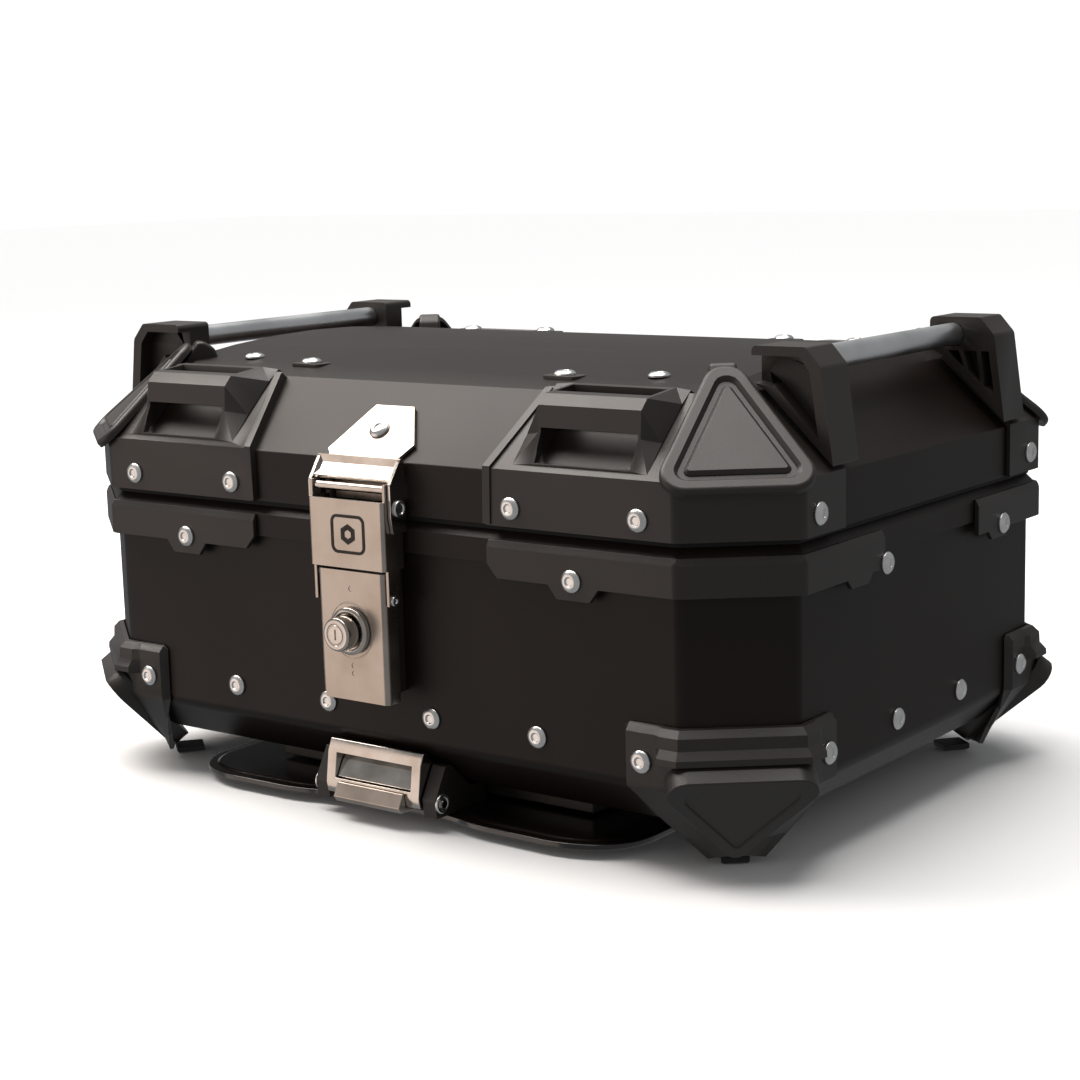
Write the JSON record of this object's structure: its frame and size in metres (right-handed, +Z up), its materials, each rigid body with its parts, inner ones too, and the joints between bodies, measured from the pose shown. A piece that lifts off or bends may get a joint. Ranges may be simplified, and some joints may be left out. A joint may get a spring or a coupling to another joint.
{
  "type": "motorcycle top case",
  "caption": "Lockable aluminium luggage case for a motorcycle's rear rack, with a hinged lid, toggle latch, hand rails and a quick-release plate.",
  "frame": {"origin": "bottom centre of the overall box, on the floor plane that the four corner feet stand on", "axes": "+X across the width to the right seen from the latch side, -Y towards the latch, +Z up"},
  "size_m": [0.469, 0.352, 0.243],
  "materials": {
    "powder_coat": "satin dark brown-black powder coat on aluminium sheet",
    "black_plastic": "moulded, fine matte texture",
    "steel": "stainless, fine brushed to polished",
    "dark_steel": "black zinc",
    "aluminium": "satin anodised tube",
    "rubber": "matte",
    "gloss_coat": "gloss black coating on steel plate"
  },
  "bodies": {
    "case": {"body_shell": "powder_coat", "rim_frame": "powder_coat", "lid_seal": "rubber", "rim_trim_front_left": "black_plastic", "rim_trim_front_right": "black_plastic", "rim_trim_rear_left": "black_plastic", "rim_trim_rear_right": "black_plastic", "corner_guard_front_left": "black_plastic", "corner_guard_front_right": "black_plastic", "corner_guard_rear_left": "black_plastic", "corner_guard_rear_right": "black_plastic", "rubber_foot_front_left": "rubber", "rubber_foot_front_right": "rubber", "rubber_foot_rear_left": "rubber", "rubber_foot_rear_right": "rubber", "latch_housing": "black_plastic", "latch_pivot_pin": "dark_steel", "hinge_leaf_body": "dark_steel", "hinge_pin": "dark_steel", "clamp_plate": "dark_steel", "base_adapter": "black_plastic", "body_rivet_1": "steel", "body_rivet_2": "steel", "body_rivet_3": "steel", "body_rivet_4": "steel", "rim_rivet_left": "steel", "rim_rivet_right": "steel"},
    "lid": {"lid_shell": "powder_coat", "corner_cover_front_left": "black_plastic", "corner_cover_front_right": "black_plastic", "corner_cover_rear_left": "black_plastic", "corner_cover_rear_right": "black_plastic", "corner_pad_front_left": "black_plastic", "corner_pad_front_right": "black_plastic", "corner_pad_rear_left": "black_plastic", "corner_pad_rear_right": "black_plastic", "rail_bracket_front_left": "black_plastic", "rail_bracket_front_right": "black_plastic", "rail_bracket_rear_left": "black_plastic", "rail_bracket_rear_right": "black_plastic", "hand_rail_left": "aluminium", "hand_rail_right": "aluminium", "hinge_leaf_lid": "dark_steel", "keeper_plate": "steel", "keeper_rivet": "steel"},
    "latch_lever": {"latch_lever": "steel", "lock_barrel": "steel"},
    "lock_knob": {"lock_knob": "steel"},
    "latch_hook": {"latch_cover": "steel", "latch_crossbar": "steel", "latch_catch": "steel"},
    "rack_plate": {"mounting_plate": "gloss_coat", "release_housing": "black_plastic", "release_pin": "dark_steel"},
    "release_lever": {"release_lever": "steel", "release_grip": "steel"}
  },
  "joints": [
    {"name": "lid_hinge", "type": "hinge", "parent": "case", "child": "lid", "pos_m": [0, 0.17265, 0.158], "axis": [-1, 0, 0], "range_deg": [0, 95]},
    {"name": "latch_lever_hinge", "type": "hinge", "parent": "case", "child": "latch_lever", "pos_m": [0, -0.15695, 0.1295], "axis": [-1, 0, 0], "range_deg": [0, 95]},
    {"name": "latch_hook_hinge", "type": "hinge", "parent": "latch_lever", "child": "latch_hook", "pos_m": [0, -0.15895, 0.1185], "axis": [1, 0, 0], "range_deg": [0, 91]},
    {"name": "lock_turn", "type": "hinge", "parent": "latch_lever", "child": "lock_knob", "pos_m": [0, -0.16815, 0.102], "axis": [0, -1, 0], "range_deg": [0, 90]},
    {"name": "plate_slide", "type": "slide", "parent": "case", "child": "rack_plate", "axis": [0, -1, 0], "range_m": [0, 0.025]},
    {"name": "release_hinge", "type": "hinge", "parent": "rack_plate", "child": "release_lever", "pos_m": [0, -0.14695, 0.015], "axis": [1, 0, 0], "range_deg": [0, 70]}
  ],
  "couplings": [
    {"joint": "latch_hook_hinge", "follows": "latch_lever_hinge", "ratio": 0.95}
  ]
}
